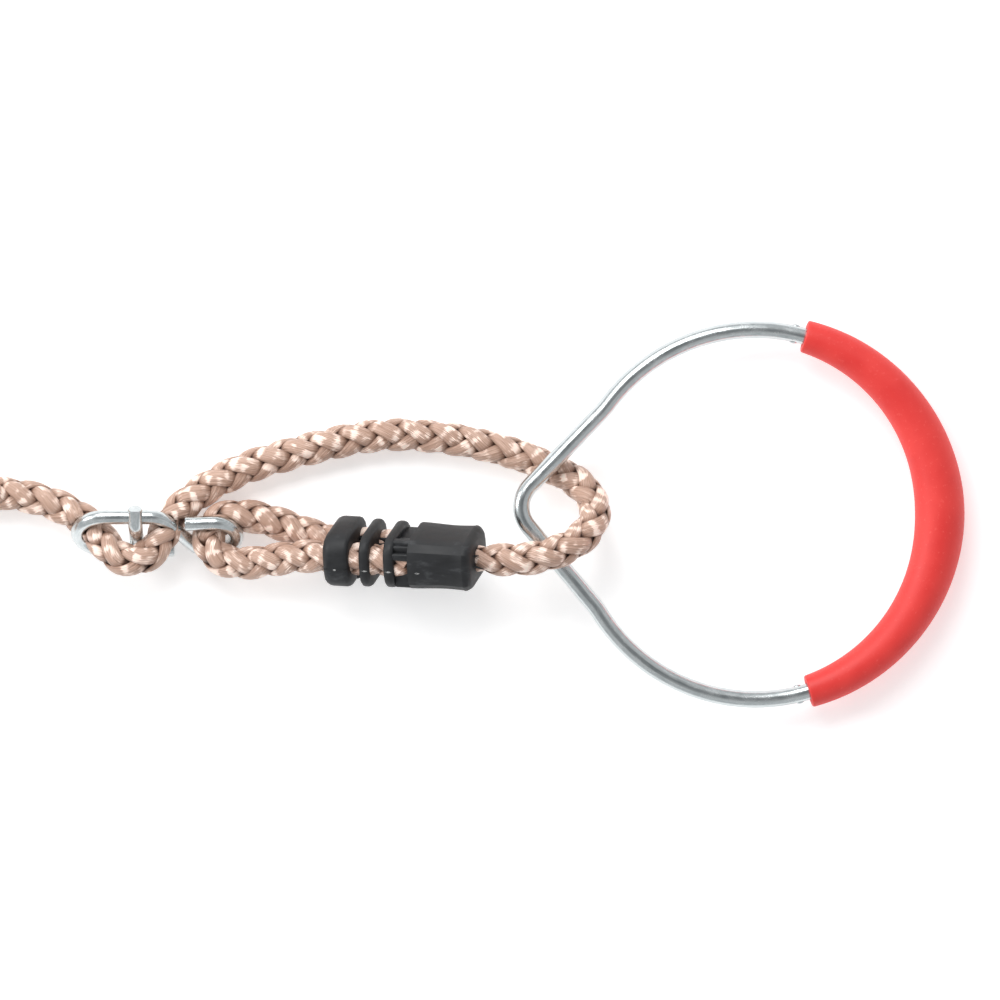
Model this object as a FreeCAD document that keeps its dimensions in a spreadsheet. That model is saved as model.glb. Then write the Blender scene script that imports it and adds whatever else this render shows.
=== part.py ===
import FreeCAD, Part
import math
import os

from FreeCAD import Placement, Rotation, Vector

# A steel hand ring for a children's swing frame. It hangs on a braided rope that is
# made up with a moulded clamp and a wire length adjuster. The whole thing lies on
# a flat surface at z = 0: +X runs from the adjuster to the hand ring, +Z is up.
# Millimetres and degrees.

doc = FreeCAD.newDocument("hand_ring_on_rope")
sizes = doc.addObject("Spreadsheet::Sheet", "sizes")

DRIVING = [
    # hand ring: one round rod bent to a circle with a small eye, welded inside the grip
    ("rod_diameter", 6.0),
    ("ring_radius", 64.6),  # circle, to the middle of the rod
    ("eye_radius", 10.5),  # tip of the eye, to the middle of the rod
    ("eye_reach", 82.2),  # centre of the circle to the tip of the eye
    ("arm_angle", 48.0),  # each arm of the eye to the ring's own axis
    ("neck_radius", 30.0),  # reverse bend between arm and circle
    ("weld_length", 1.6),
    ("weld_diameter", 7.0),
    ("stake_diameter", 3.0),
    ("stake_angle", 77.2),  # pinched bumps that stop the grip, from its middle
    ("ring_centre_x", 82.8),
    ("ring_centre_y", 0.2),
    ("ring_yaw", -2.05),
    # grip: moulded round the rod, thickest in its middle
    ("grip_middle", 17.4),
    ("grip_end", 11.4),
    ("grip_half_angle", 74.3),
    ("grip_crown", 12.0),  # how broad the thick middle is, in degrees
    ("grip_turn", 2.7),  # middle of the grip, round from the ring's own axis
    # rope and the room that the ring needs to swing on it
    ("rope_diameter", 12.0),
    ("rope_under_eye", 6.3),  # height of the rope where the eye lies on it
    ("swing_room", 1.7),  # rope to rod, where they cross
    # rope clamp
    ("clamp_width", 20.0),
    ("clamp_height", 27.6),
    ("clamp_corner", 5.5),
    ("first_rib", 9.4),
    ("first_slot", 3.8),
    ("second_rib", 3.6),
    ("second_slot", 5.1),
    ("third_rib", 3.8),
    ("third_slot", 5.1),
    ("sleeve_length", 22.2),
    ("core_share", 0.66),  # core in the slots, as a share of the first rib
    ("sleeve_share", 0.93),
    ("waist_share", 0.89),
    ("bore_room", 0.05),
    ("core_window", 7.5),  # windows in the core that show the rope
    # adjuster: a figure-eight wire with a bent crossbar in its large loop
    ("hook_wire", 5.0),
    ("hook_tilt", 53.8),
    ("loop_left", -154.3),
    ("loop_height", 19.2),
    ("loop_cut", -120.8),
    ("waist_left", -125.0),
    ("waist_right", -112.2),
    ("eye_right", -98.8),
    ("small_eye_height", 16.2),
    ("small_eye_cut", -116.6),
    ("hook_y", -12.1),
    ("crossbar_x", -133.7),
    ("crossbar_bend", 4.0),
    # far end
    ("link_radius", 20.0),
    ("link_wire", 5.0),
    ("link_room", 0.9),
    ("coil_inner", 50.0),
    ("coil_outer", 76.0),
    ("coil_edge", 4.0),
    ("tie_width", 14.0),
    ("tie_thickness", 1.0),
]

for row, (alias, value) in enumerate(DRIVING, start=1):
    sizes.set(f"A{row}", alias)
    sizes.set(f"B{row}", str(value))
    sizes.setAlias(f"B{row}", alias)
doc.recompute()


def size(alias):
    return float(sizes.get(alias))


ROPE_R = size("rope_diameter") / 2
LEG = ROPE_R + 0.2  # each leg of rope lies this far from the clamp's axis
FLOOR = ROPE_R + 0.05  # height of a rope that lies on the surface

CLAMP_STEPS = [
    "first_rib",
    "first_slot",
    "second_rib",
    "second_slot",
    "third_rib",
    "third_slot",
    "sleeve_length",
]
CLAMP_LENGTH = sum(size(step) for step in CLAMP_STEPS)
END_LEG = CLAMP_LENGTH - size("sleeve_length")  # the rope's end stops at the sleeve
LEG_LEAVES = 24.0  # where the through leg begins to rise to the axis
LEG_CENTRED = 43.0


def clamp_place(corner, yaw, pitch, roll):
    turn = Rotation(Vector(0, 0, 1), yaw)
    turn = turn.multiply(Rotation(Vector(0, 1, 0), -pitch))
    turn = turn.multiply(Rotation(Vector(1, 0, 0), roll))
    return Placement(corner, turn)


# middle of the ribbed mouth, then yaw, pitch and roll
CLAMP = clamp_place(Vector(-65.3, -12.25, 14.0), -3.15, 15.0, 24.0)
TOP_CLAMP = clamp_place(Vector(-378.0, 62.0, 13.85), 0.0, 0.0, 0.0)


def in_clamp(place, along, across, stacked):
    return place.multVec(Vector(along, across, stacked))


# ---------------------------------------------------------------- rope route
# The rope's end is moulded into the clamp. It turns round the adjuster's small
# eye, goes back through the clamp, round the ring's eye and on through the
# adjuster's large loop, which is how the length is set.

COIL_CENTRE = Vector(-280.0, -10.0, 7.0)
COIL_START = 54.0  # radius of the first turn where it begins
COIL_PITCH = 12.0  # each turn lies a rope's width outside the last
HOLE_TURN = 36.0  # half turn inside the coil, before the first turn


def small_bight_route():
    leg_out = [
        in_clamp(CLAMP, END_LEG, 0, LEG),
        in_clamp(CLAMP, 22.0, 0.3, LEG),
        in_clamp(CLAMP, 11.0, 0, LEG),
        in_clamp(CLAMP, 0.0, 0.2, LEG),
    ]
    round_eye = [
        Vector(-76.4, -14.3, 16.8),
        Vector(-85.4, -15.6, 14.2),
        Vector(-93.8, -16.9, 12.2),
        Vector(-100.6, -16.8, 10.9),
        Vector(-106.0, -14.6, 10.3),
        Vector(-108.9, -10.4, 9.9),
        Vector(-108.4, -5.4, 9.2),
        Vector(-105.4, -1.6, 8.2),
        Vector(-100.4, -0.1, 7.4),
        Vector(-94.6, -0.2, 6.9),
        Vector(-86.6, -2.0, 6.5),
        Vector(-76.2, -5.9, 6.3),
    ]
    leg_back = [
        in_clamp(CLAMP, 0.0, 0, -LEG),
        in_clamp(CLAMP, 11.0, 0.3, -LEG),
        in_clamp(CLAMP, LEG_LEAVES, 0, -LEG),
        in_clamp(CLAMP, LEG_CENTRED, 0, 0),
        in_clamp(CLAMP, CLAMP_LENGTH, 0, 0),
    ]
    return leg_out + round_eye + leg_back


def ring_loop_route():
    over_ring = [
        in_clamp(CLAMP, CLAMP_LENGTH, 0, 0),
        Vector(-5.4, -15.6, 29.4),
        Vector(3.2, -15.3, 30.0),
        Vector(11.9, -13.4, 28.5),
        Vector(19.6, -9.8, 25.4),
        Vector(25.1, -4.7, 21.2),
        Vector(27.0, 1.2, 16.8),
        Vector(25.0, 6.9, 12.6),
        Vector(20.7, 11.4, 9.2),
        Vector(15.2, 14.7, 7.1),
        Vector(9.2, 17.4, 6.3),
        Vector(1.4, 20.5, 6.1),
        Vector(-8.6, 23.6, 6.1),
    ]
    to_adjuster = [
        Vector(-23.4, 26.8, 6.1),
        Vector(-40.6, 28.4, 6.1),
        Vector(-54.4, 27.5, 6.1),
        Vector(-68.2, 24.5, 6.1),
        Vector(-82.0, 20.9, 6.1),
        Vector(-94.4, 17.2, 6.1),
        Vector(-104.6, 12.5, 6.2),
        Vector(-112.4, 7.6, 6.9),
        Vector(-118.6, 2.3, 8.6),
        Vector(-122.9, -3.8, 11.2),
        Vector(-126.0, -10.2, 14.0),
        Vector(-130.4, -15.0, 15.9),
        Vector(-136.6, -16.3, 16.0),
        Vector(-142.4, -13.2, 14.1),
        Vector(-146.4, -7.6, 11.0),
        Vector(-152.2, -1.7, 8.3),
        Vector(-160.6, 3.1, 6.8),
        Vector(-170.9, 6.4, 6.2),
        Vector(-182.0, 7.8, 6.3),
    ]
    over_coil = [
        Vector(-192.0, 8.3, 9.2),
        Vector(-200.6, 8.2, 15.0),
        Vector(-209.4, 8.0, 20.4),
        Vector(-228.6, 8.1, 20.4),
        Vector(-238.4, 8.3, 16.2),
        Vector(-248.0, 8.1, 10.4),
        Vector(-258.2, 8.1, 7.4),
        Vector(-269.4, 8.2, 7.0),
    ]
    return over_ring + to_adjuster + over_coil + hole_turn()


def hole_turn():
    middle = COIL_CENTRE + Vector(0, HOLE_TURN - COIL_START, 0)
    points = []
    for step in range(6):
        angle = math.radians(105 + 30 * step)
        reach = HOLE_TURN / math.cos(math.radians(15))
        points.append(middle + Vector(reach * math.cos(angle), reach * math.sin(angle), 0))
    return points


def far_end_route():
    y = TOP_CLAMP.Base.y
    height = TOP_CLAMP.Base.z
    lead = [
        Vector(-282.0, y, COIL_CENTRE.z),
        Vector(-292.0, y, 7.1),
        Vector(-302.0, y, 8.6),
        Vector(-312.0, y, 12.1),
        Vector(-321.0, y, height),
    ]
    through = [in_clamp(TOP_CLAMP, *point) for point in TOP_LEG]
    middle = link_hinge()
    reach = link_bight() / math.cos(math.radians(22.5))
    bight = [in_clamp(TOP_CLAMP, -8.6, 0, middle.z - height - link_bight() + 0.2)]
    for angle in (247.5, 202.5, 157.5, 112.5):
        turn = math.radians(angle)
        bight.append(middle + Vector(reach * math.cos(turn), 0, reach * math.sin(turn)))
    bight.append(in_clamp(TOP_CLAMP, -8.6, 0, middle.z - height + link_bight() - 0.8))
    back = [
        in_clamp(TOP_CLAMP, 0.0, 0.2, LEG),
        in_clamp(TOP_CLAMP, 11.0, 0, LEG),
        in_clamp(TOP_CLAMP, 22.0, 0.3, LEG),
        in_clamp(TOP_CLAMP, END_LEG, 0, LEG),
    ]
    return lead + through + bight + back


# the through leg of rope in the top clamp: along, across and up
TOP_LEG = [
    (LEG_CENTRED, 0.0, 0.0),
    (LEG_LEAVES, 0.0, -LEG),
    (11.0, 0.3, -LEG),
    (0.0, 0.0, -LEG),
]


def link_bight():
    return ROPE_R + size("link_wire") / 2 + size("link_room")


def link_hinge():
    return Vector(-395.5, TOP_CLAMP.Base.y, FLOOR + 0.2 + link_bight())


# ------------------------------------------------------------ paths and tubes
def tangent_arc(before, corner, after, radius):
    """Start, middle and end of the arc of that radius that rounds a corner."""
    back = (before - corner).normalize()
    forth = (after - corner).normalize()
    half_turn = (math.pi - back.getAngle(forth)) / 2
    cut = radius * math.tan(half_turn)
    inward = (back + forth).normalize()
    to_middle = radius * (1 / math.cos(half_turn) - 1)
    return corner + back * cut, corner + inward * to_middle, corner + forth * cut


def rounded_path(points, radii):
    """Straight runs joined by arcs; radii has one value for each inner point."""
    edges = []
    at = points[0]
    for before, corner, after, radius in zip(points, points[1:], points[2:], radii):
        start, middle, end = tangent_arc(before, corner, after, radius)
        if (start - at).Length > 1e-6:
            edges.append(Part.LineSegment(at, start))
        edges.append(Part.Arc(start, middle, end))
        at = end
    edges.append(Part.LineSegment(at, points[-1]))
    return edges


def cord_radii(points):
    radii = []
    for before, corner, after in zip(points, points[1:], points[2:]):
        shorter = min((before - corner).Length, (after - corner).Length)
        half_turn = (corner - before).getAngle(after - corner) / 2
        radii.append(0.45 * shorter / math.tan(half_turn))
    return radii


def cord_tube(label, points):
    radii = cord_radii(points)
    edges = rounded_path(points, radii)
    wire = Part.Wire([edge.toShape() for edge in edges])
    ahead = points[1] - points[0]
    circle = Part.Wire(Part.makeCircle(ROPE_R, points[0], ahead))
    solid = wire.makePipeShell([circle], True, False)
    tube = doc.addObject("Part::Feature", label)
    tube.Label = label
    tube.Shape = solid
    expected = math.pi * ROPE_R**2 * wire.Length
    print(f"{label}: {wire.Length:.1f} long, volume {solid.Volume / expected:.4f} of section x length")
    print("  radii", " ".join(f"{radius:.0f}" for radius in radii))
    return tube


def sketch_in(body, name, plane, offset=None):
    sketch = body.newObject("Sketcher::SketchObject", name)
    origin = [f for f in body.Origin.OriginFeatures if f.Role == plane][0]
    sketch.AttachmentSupport = [(origin, "")]
    sketch.MapMode = "FlatFace"
    if offset is not None:
        sketch.AttachmentOffset = offset
    return sketch


def bent_rod(label, edges, heading, diameter):
    """A round rod bent in the XY plane of its own body, along the given edges."""
    body = doc.addObject("PartDesign::Body", label)
    body.Label = label
    path = sketch_in(body, label + "_path", "XY_Plane")
    path.addGeometry(edges, False)
    start = edges[0].StartPoint
    across = Rotation(Vector(0, 0, 1), heading).multiply(Rotation(Vector(0, 1, 0), 90))
    facing = Placement(start, across)
    section = sketch_in(body, label + "_section", "XY_Plane", facing)
    circle = Part.Circle(Vector(0, 0, 0), Vector(0, 0, 1), size(diameter) / 2)
    section.addGeometry(circle, False)
    add_radius(section, f"sizes.{diameter} / 2")
    pipe = body.newObject("PartDesign::AdditivePipe", label + "_pipe")
    doc.recompute()
    pipe.Profile = section
    pipe.Spine = (path, [f"Edge{n + 1}" for n in range(len(edges))])
    doc.recompute()
    return body


def add_radius(sketch, expression):
    import Sketcher

    sketch.addConstraint(Sketcher.Constraint("Coincident", 0, 3, -1, 1))
    row = sketch.addConstraint(Sketcher.Constraint("Radius", 0, 3.0))
    sketch.setExpression(f"Constraints[{row}]", expression)


# ------------------------------------------------------------------ hand ring
def ring_half():
    """One half of the rod's line, from the eye's tip to the weld, in the ring's plane."""
    radius = size("ring_radius")
    eye = size("eye_radius")
    neck = size("neck_radius")
    arm = math.radians(size("arm_angle"))
    eye_middle = Vector(eye - size("eye_reach"), 0, 0)
    outward = Vector(-math.sin(arm), math.cos(arm), 0)
    along = Vector(math.cos(arm), math.sin(arm), 0)
    leaves_eye = eye_middle + outward * eye
    line_off = leaves_eye.dot(outward)
    shift = math.sqrt((radius + neck) ** 2 - (line_off + neck) ** 2)
    neck_middle = outward * (line_off + neck) - along * shift
    meets_neck = outward * line_off - along * shift
    meets_circle = neck_middle * (radius / (radius + neck))
    halfway = (neck_middle * -1).normalize() + outward * -1
    neck_mid = neck_middle + halfway.normalize() * neck
    weld_angle = math.asin(size("weld_length") / 2 / radius)
    circle_end = math.atan2(meets_circle.y, meets_circle.x)
    mid_angle = (circle_end + weld_angle) / 2
    tip = Vector(-size("eye_reach"), 0, 0)
    eye_turn = math.pi - (math.pi / 2 - arm) / 2
    eye_mid = eye_middle + Vector(eye * math.cos(eye_turn), eye * math.sin(eye_turn), 0)
    at_weld = Vector(radius * math.cos(weld_angle), radius * math.sin(weld_angle), 0)
    on_circle = Vector(radius * math.cos(mid_angle), radius * math.sin(mid_angle), 0)
    return [
        Part.Arc(tip, eye_mid, leaves_eye),
        Part.LineSegment(leaves_eye, meets_neck),
        Part.Arc(meets_neck, neck_mid, meets_circle),
        Part.Arc(meets_circle, on_circle, at_weld),
    ]


def flipped(edge):
    def down(point):
        return Vector(point.x, -point.y, 0)

    start, end = down(edge.StartPoint), down(edge.EndPoint)
    if isinstance(edge, Part.LineSegment):
        return Part.LineSegment(end, start)
    middle = edge.value((edge.FirstParameter + edge.LastParameter) / 2)
    return Part.Arc(end, down(middle), start)


def arm_crossing(x, side):
    """Point of the eye's arm that lies under or over the rope, in the ring's plane."""
    arm = math.radians(size("arm_angle"))
    eye = size("eye_radius")
    start_x = eye - size("eye_reach") - eye * math.sin(arm)
    start_y = eye * math.cos(arm)
    return Vector(x, side * (start_y + (x - start_x) * math.tan(arm)), 0)


HINGE_X = -72.6  # where rope and arms cross, from the circle's centre
EYE_HEIGHT = size("rope_under_eye") + ROPE_R + size("rod_diameter") / 2 + size("swing_room")
SLOPE = math.degrees(
    math.asin((EYE_HEIGHT - size("grip_middle") / 2) / (size("ring_radius") - HINGE_X))
)


def ring_place():
    level = size("grip_middle") / 2 + size("ring_radius") * math.sin(math.radians(SLOPE))
    centre = Vector(size("ring_centre_x"), size("ring_centre_y"), level)
    yaw = Rotation(Vector(0, 0, 1), size("ring_yaw"))
    return Placement(centre, yaw.multiply(Rotation(Vector(0, 1, 0), SLOPE)))


RING = ring_place()


def on_ring(angle, radius):
    turn = math.radians(angle)
    return Vector(radius * math.cos(turn), radius * math.sin(turn), 0)


def make_ring_rod():
    half = ring_half()
    edges = [flipped(edge) for edge in reversed(half)] + half
    rod = bent_rod("ring_rod_bar", edges, 90, "rod_diameter")
    pieces = [rod]
    off = size("rod_diameter") / 2 - 0.6
    for side in (-1, 1):
        for face in (-1, 1):
            stake = doc.addObject("Part::Sphere", f"stake_{len(pieces)}")
            stake.setExpression("Radius", "sizes.stake_diameter / 2")
            angle = size("grip_turn") + side * size("stake_angle")
            foot = on_ring(angle, size("ring_radius") + face * off)
            stake.Placement = Placement(foot, Rotation())
            pieces.append(stake)
    ring_rod = doc.addObject("Part::MultiFuse", "ring_rod")
    ring_rod.Shapes = pieces
    ring_rod.Label = "ring_rod"
    ring_rod.Placement = RING
    return ring_rod


def make_rod_weld():
    weld = doc.addObject("Part::Cylinder", "rod_weld")
    weld.Label = "rod_weld"
    weld.setExpression("Radius", "sizes.weld_diameter / 2")
    weld.setExpression("Height", "sizes.weld_length * 0.98")
    foot = Vector(size("ring_radius"), 0.49 * size("weld_length"), 0)
    upright = Placement(foot, Rotation(Vector(1, 0, 0), 90))
    weld.Placement = RING.multiply(upright)
    return weld


def grip_radius(angle):
    crown = size("grip_crown")
    fall = math.hypot(angle, crown) - crown
    whole = math.hypot(size("grip_half_angle"), crown) - crown
    middle, end = size("grip_middle") / 2, size("grip_end") / 2
    return middle - (middle - end) * fall / whole


def make_grip(ring_rod, rod_weld):
    half = size("grip_half_angle")
    sections = []
    count = 13
    for step in range(count):
        angle = -half + 2 * half * step / (count - 1)
        turned = angle + size("grip_turn")
        ahead = on_ring(turned + 90, 1)
        circle = Part.makeCircle(grip_radius(angle), on_ring(turned, size("ring_radius")), ahead)
        sections.append(Part.Wire(circle))
    solid = Part.makeLoft(sections, True, False)
    bar = doc.addObject("Part::Feature", "grip_moulding")
    bar.Shape = solid
    bar.Placement = RING
    inside = doc.addObject("Part::MultiFuse", "grip_inside")
    inside.Shapes = [ring_rod, rod_weld]
    grip = doc.addObject("Part::Cut", "grip")
    grip.Base = bar
    grip.Tool = inside
    grip.Label = "grip"
    return grip


# ----------------------------------------------------------------- rope clamp
def rib_outline(share):
    """The clamp's eight-sided section, in the plane across its axis."""
    wide = share * size("clamp_width") / 2
    tall = share * size("clamp_height") / 2
    corner = share * size("clamp_corner")
    half = [(wide, tall - corner), (wide - corner, tall)]
    quarter = half + [(-y, z) for y, z in reversed(half)]
    return quarter + [(-y, -z) for y, z in quarter]


def outline_wire(along, share):
    corners = [Vector(along, y, z) for y, z in rib_outline(share)]
    return Part.makePolygon(corners + corners[:1])


def slab(start, length, share):
    return Part.Face(outline_wire(start, share)).extrude(Vector(length, 0, 0))


def clamp_starts():
    at = 0.0
    starts = {}
    for step in CLAMP_STEPS:
        starts[step] = at
        at += size(step)
    return starts


def clamp_moulding():
    starts = clamp_starts()
    sleeve_at = starts["sleeve_length"]
    core_share = size("core_share")
    solid = slab(0, sleeve_at + 1, core_share)
    for rib, share in (("first_rib", 1.0), ("second_rib", 0.965), ("third_rib", 0.945)):
        solid = solid.fuse(slab(starts[rib], size(rib), share))
    waist = sleeve_at + 0.6 * size("sleeve_length")
    stations = [
        (sleeve_at, size("sleeve_share")),
        (waist, size("waist_share")),
        (CLAMP_LENGTH, size("sleeve_share")),
    ]
    sleeve = Part.makeLoft([outline_wire(x, share) for x, share in stations], True, False)
    solid = solid.fuse(sleeve)
    solid = solid.fuse(slab(starts["third_slot"] - 0.5, size("third_slot") + 1, 0.8))
    for slot in ("first_slot", "second_slot", "third_slot"):
        window = size("core_window")
        gap = Part.makeBox(
            size(slot), window, size("clamp_height"), Vector(starts[slot], -window / 2, 0)
        )
        solid = solid.cut(gap)
    return solid


def rope_bore(points):
    """Room for a stretch of rope, as straight bores with rounded joints."""
    radius = ROPE_R + size("bore_room")
    room = None
    for start, end in zip(points, points[1:]):
        run = Part.makeCylinder(radius, (end - start).Length, start, end - start)
        room = run if room is None else room.fuse(run)
    for joint in points[1:-1]:
        room = room.fuse(Part.makeSphere(radius, joint))
    return room


def make_clamp(label, place):
    """Moulded clamp: the rope's end leg stops inside it, the other leg runs through."""
    end_leg = [Vector(-2, 0, LEG), Vector(END_LEG, 0, LEG)]
    through = [
        Vector(-2, 0, -LEG),
        Vector(LEG_LEAVES, 0, -LEG),
        Vector(LEG_CENTRED, 0, 0),
        Vector(CLAMP_LENGTH + 2, 0, 0),
    ]
    solid = clamp_moulding().cut(rope_bore(end_leg)).cut(rope_bore(through))
    clamp = doc.addObject("Part::Feature", label)
    clamp.Label = label
    clamp.Shape = solid.removeSplitter()
    clamp.Placement = place
    return clamp


# ------------------------------------------------------------- adjuster hook
def hook_place():
    turn = Rotation(Vector(1, 0, 0), size("hook_tilt"))
    return Placement(Vector(0, size("hook_y"), size("hook_wire") / 2), turn)


HOOK = hook_place()


def make_hook():
    tall, small = size("loop_height"), size("small_eye_height")
    left, right = size("loop_left"), size("eye_right")
    points = [
        Vector(size("loop_cut"), 0, 0),
        Vector(left, 0, 0),
        Vector(left, tall, 0),
        Vector(size("waist_left"), tall, 0),
        Vector(size("waist_right"), 0, 0),
        Vector(right, 0, 0),
        Vector(right, small, 0),
        Vector(size("small_eye_cut"), small - 0.9, 0),
    ]
    loop, eye, bend = 0.499 * tall, 0.48 * small, 7.0
    edges = rounded_path(points, [loop, loop, bend, bend, eye, eye])
    hook = bent_rod("adjuster_hook", edges, 0, "hook_wire")
    hook.Placement = HOOK
    return hook


def make_crossbar(hook):
    """Bent bar across the large loop: laid over the upper wire, its foot on the lower."""
    wire = size("hook_wire")
    upper = HOOK.multVec(Vector(0, size("loop_height"), 0))
    lower = HOOK.multVec(Vector(0, 0, 0))
    lean = Vector(0, 0.864, 0.503)
    over = Vector(0, upper.y, upper.z) + Vector(0, -lean.z, lean.y) * (wire * 1.0)
    head = over + lean * 6.4
    knee = over - lean * 1.0
    foot = Vector(0, lower.y + 1.9, lower.z + 2.6)
    flat = [Vector(p.y, p.z, 0) for p in (head, knee, foot)]
    edges = rounded_path(flat, [size("crossbar_bend")])
    start_way = math.degrees(math.atan2(flat[1].y - flat[0].y, flat[1].x - flat[0].x))
    bar = bent_rod("crossbar_bar", edges, start_way, "hook_wire")
    upright = Rotation(Vector(0, 0, 1), 90).multiply(Rotation(Vector(1, 0, 0), 90))
    bar.Placement = Placement(Vector(size("crossbar_x"), 0, 0), upright)
    crossbar = doc.addObject("Part::Cut", "crossbar")
    crossbar.Base = bar
    crossbar.Tool = hook
    crossbar.Label = "crossbar"
    return crossbar


# ------------------------------------------------------------------- far end
def make_link():
    link = doc.addObject("Part::Torus", "hanging_ring")
    link.Label = "hanging_ring"
    link.setExpression("Radius1", "sizes.link_radius")
    link.setExpression("Radius2", "sizes.link_wire / 2")
    hinge = link_hinge()
    drop = hinge.z - size("link_wire") / 2
    tilt = math.degrees(math.asin(drop / (2 * size("link_radius"))))
    turn = Rotation(Vector(0, 1, 0), -tilt)
    centre = hinge + turn.multVec(Vector(-size("link_radius"), 0, 0))
    link.Placement = Placement(centre, turn)
    return link


def make_coil():
    low, high = COIL_CENTRE.z - ROPE_R, COIL_CENTRE.z + ROPE_R
    inner, outer = size("coil_inner"), size("coil_outer")
    edge = size("coil_edge")
    corners = [
        Vector(inner, 0, low),
        Vector(outer, 0, low),
        Vector(outer, 0, high),
        Vector(inner, 0, high),
    ]
    start = (corners[0] + corners[3]) * 0.5
    loop = [start] + corners + [start]
    wire = Part.Wire([e.toShape() for e in rounded_path(loop, [edge] * 4)])
    solid = Part.Face(wire).revolve(Vector(0, 0, 0), Vector(0, 0, 1), 360)
    coil = doc.addObject("Part::Feature", "rope_coil")
    coil.Label = "rope_coil"
    coil.Shape = solid
    coil.Placement = Placement(Vector(COIL_CENTRE.x, COIL_CENTRE.y, 0), Rotation())
    return coil


def make_tie(label, angle):
    """A flat tie round the coil's turns."""
    thick = size("tie_thickness")
    reach = size("coil_outer") - size("coil_inner")
    box = doc.addObject("Part::Box", label + "_outer")
    box.setExpression("Length", "sizes.coil_outer - sizes.coil_inner + 2 * sizes.tie_thickness")
    box.setExpression("Width", "sizes.tie_width")
    box.setExpression("Height", "sizes.rope_diameter + 2 * sizes.tie_thickness")
    hole = doc.addObject("Part::Box", label + "_hole")
    hole.setExpression("Length", "sizes.coil_outer - sizes.coil_inner + 0.1")
    hole.setExpression("Width", "sizes.tie_width + 2")
    hole.setExpression("Height", "sizes.rope_diameter + 0.02")
    width = size("tie_width")
    corner = Vector(size("coil_inner") - thick, -width / 2, COIL_CENTRE.z - ROPE_R - thick)
    step = Vector(thick - 0.05, -1, thick - 0.01)
    middle = Placement(Vector(COIL_CENTRE.x, COIL_CENTRE.y, 0), Rotation(Vector(0, 0, 1), angle))
    box.Placement = middle.multiply(Placement(corner, Rotation()))
    hole.Placement = middle.multiply(Placement(corner + step, Rotation()))
    tie = doc.addObject("Part::Cut", label)
    tie.Base = box
    tie.Tool = hole
    tie.Label = label
    print(f"{label}: round {reach:.1f} of rope")
    return tie


# ------------------------------------------------------------------- assembly
def build():
    small_bight = cord_tube("rope_small_bight", small_bight_route())
    ring_loop = cord_tube("rope_ring_loop", ring_loop_route())
    far_end = cord_tube("rope_far_end", far_end_route())
    ring_rod = make_ring_rod()
    rod_weld = make_rod_weld()
    hook = make_hook()
    return [
        small_bight,
        ring_loop,
        far_end,
        make_coil(),
        make_tie("coil_tie_upper", 50.0),
        make_tie("coil_tie_lower", 305.0),
        ring_rod,
        rod_weld,
        make_grip(ring_rod, rod_weld),
        make_clamp("rope_clamp", CLAMP),
        make_clamp("top_clamp", TOP_CLAMP),
        hook,
        make_crossbar(hook),
        make_link(),
    ]


def check(parts):
    for item in doc.Objects:
        if "Invalid" in item.State or "Error" in item.State:
            raise RuntimeError(f"{item.Name} failed: {item.State}")
    for part in parts:
        shape = part.Shape
        if shape.isNull() or not shape.isValid() or not shape.Solids:
            raise RuntimeError(f"{part.Label} has no valid solid")


def report(parts):
    for part in parts:
        box = part.Shape.optimalBoundingBox()
        print(
            f"{part.Label}: {len(part.Shape.Solids)} solid, {part.Shape.Volume:.0f} mm3,"
            f" x {box.XMin:.2f}..{box.XMax:.2f} y {box.YMin:.2f}..{box.YMax:.2f}"
            f" z {box.ZMin:.2f}..{box.ZMax:.2f}"
        )
    for side, name in ((1, "upper"), (-1, "lower")):
        point = RING.multVec(arm_crossing(HINGE_X, side))
        print(f"hinge through {name} arm at {point.x:.2f} {point.y:.2f} {point.z:.2f}")
    middle = link_hinge()
    print(f"hanging ring hinge at {middle.x:.2f} {middle.y:.2f} {middle.z:.2f}")


sub_parts = build()
doc.recompute()
check(sub_parts)
report(sub_parts)
os.makedirs("parts", exist_ok=True)
for sub_part in sub_parts:
    sub_part.Shape.exportStep(f"parts/{sub_part.Label}.step")
print(f"{len(sub_parts)} parts written")
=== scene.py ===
# %% [markdown]
# # A hand ring on a braided rope
# A steel ring with a moulded grip hangs on a braided rope. A black moulded clamp
# makes up the rope's end, and a bent wire lets the rope be shortened. We build each
# piece round the measured frame, in metres, and give each its own procedural finish.

# %% Load the frame
import math

import bmesh
import bpy
from mathutils import Matrix, Vector
from mathutils.kdtree import KDTree


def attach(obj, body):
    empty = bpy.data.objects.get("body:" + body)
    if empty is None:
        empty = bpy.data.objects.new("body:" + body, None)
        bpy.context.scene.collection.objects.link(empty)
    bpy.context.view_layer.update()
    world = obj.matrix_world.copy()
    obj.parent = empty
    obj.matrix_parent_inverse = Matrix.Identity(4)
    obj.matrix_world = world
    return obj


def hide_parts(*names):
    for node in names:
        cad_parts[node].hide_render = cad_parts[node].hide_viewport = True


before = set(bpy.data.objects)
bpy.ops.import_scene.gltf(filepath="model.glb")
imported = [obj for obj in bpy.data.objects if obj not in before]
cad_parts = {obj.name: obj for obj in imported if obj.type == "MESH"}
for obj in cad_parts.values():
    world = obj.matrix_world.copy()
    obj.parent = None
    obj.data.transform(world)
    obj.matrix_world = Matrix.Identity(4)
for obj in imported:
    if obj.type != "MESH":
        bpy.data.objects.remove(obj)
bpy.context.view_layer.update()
MM = 0.001

# %% [markdown]
# ## Camera, floor and light
# The whole thing lies on a white sheet and is seen from straight above. A long lens
# far away keeps the round ring round. One large soft lamp stands beyond the top
# edge, so each piece drops a faint shadow towards the bottom edge. A second, weaker
# one and a white world fill the rest.

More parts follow.
